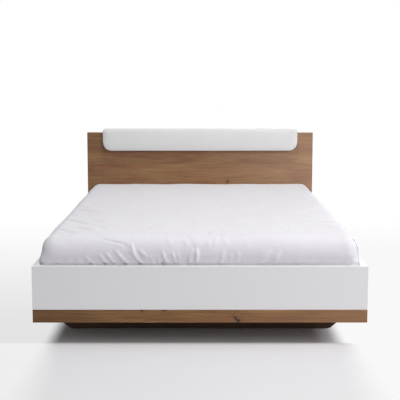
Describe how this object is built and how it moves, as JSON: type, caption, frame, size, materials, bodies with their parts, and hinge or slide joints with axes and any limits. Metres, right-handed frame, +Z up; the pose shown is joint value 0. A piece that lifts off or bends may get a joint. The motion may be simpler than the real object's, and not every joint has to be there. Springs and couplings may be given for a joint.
{
  "type": "upholstered bed",
  "caption": "Low platform bed with a padded headboard cushion, oak-look headboard, white rails on oak strips, set-back skid, slat bases and a sheeted mattress.",
  "frame": {"origin": "on the floor, under the centre of the bed's outer box", "axes": "+X to the right seen from the foot end, +Y from the foot end to the headboard, +Z up"},
  "size_m": [1.88, 2.083, 1.05],
  "materials": {
    "oak_laminate": "matt knotty oak decor",
    "white_laminate": "satin white laminate",
    "leatherette": "white faux leather",
    "cotton": "plain white cotton sheet",
    "ticking": "knitted ticking",
    "plywood": "raw",
    "pine": "planed",
    "birch_laminate": "clear lacquer",
    "woven_tape": "woven",
    "zinc_steel": "zinc plated",
    "black_plastic": "moulded"
  },
  "bodies": {
    "bed_frame": {"headboard_panel": "oak_laminate", "cushion_board": "plywood", "cushion_pad": "leatherette", "footboard_panel": "white_laminate", "footboard_strip": "oak_laminate", "skid": "oak_laminate", "skid_glide": "black_plastic", "centre_beam": "zinc_steel", "beam_saddle_foot": "zinc_steel", "beam_saddle_head": "zinc_steel", "centre_leg": "zinc_steel", "centre_leg_glide": "black_plastic", "side_rail_left": "white_laminate", "side_strip_left": "oak_laminate", "slat_ledge_left": "pine", "headboard_glide_left": "black_plastic", "skid_bracket_left": "zinc_steel", "corner_bracket_foot_left": "zinc_steel", "corner_bracket_head_left": "zinc_steel", "slat_left_01": "birch_laminate", "slat_left_02": "birch_laminate", "slat_left_03": "birch_laminate", "slat_left_04": "birch_laminate", "slat_left_05": "birch_laminate", "slat_left_06": "birch_laminate", "slat_left_07": "birch_laminate", "slat_left_08": "birch_laminate", "slat_left_09": "birch_laminate", "slat_left_10": "birch_laminate", "slat_left_11": "birch_laminate", "slat_left_12": "birch_laminate", "slat_left_13": "birch_laminate", "slat_left_14": "birch_laminate", "slat_tape_left_inner": "woven_tape", "slat_tape_left_outer": "woven_tape", "side_rail_right": "white_laminate", "side_strip_right": "oak_laminate", "slat_ledge_right": "pine", "headboard_glide_right": "black_plastic", "skid_bracket_right": "zinc_steel", "corner_bracket_foot_right": "zinc_steel", "corner_bracket_head_right": "zinc_steel", "slat_right_01": "birch_laminate", "slat_right_02": "birch_laminate", "slat_right_03": "birch_laminate", "slat_right_04": "birch_laminate", "slat_right_05": "birch_laminate", "slat_right_06": "birch_laminate", "slat_right_07": "birch_laminate", "slat_right_08": "birch_laminate", "slat_right_09": "birch_laminate", "slat_right_10": "birch_laminate", "slat_right_11": "birch_laminate", "slat_right_12": "birch_laminate", "slat_right_13": "birch_laminate", "slat_right_14": "birch_laminate", "slat_tape_right_inner": "woven_tape", "slat_tape_right_outer": "woven_tape"},
    "mattress": {"mattress_core": "ticking", "fitted_sheet": "cotton"}
  },
  "joints": [
    {"name": "mattress_lift", "type": "slide", "parent": "bed_frame", "child": "mattress", "axis": [0, 0, 1], "range_m": [0, 0.25]}
  ]
}
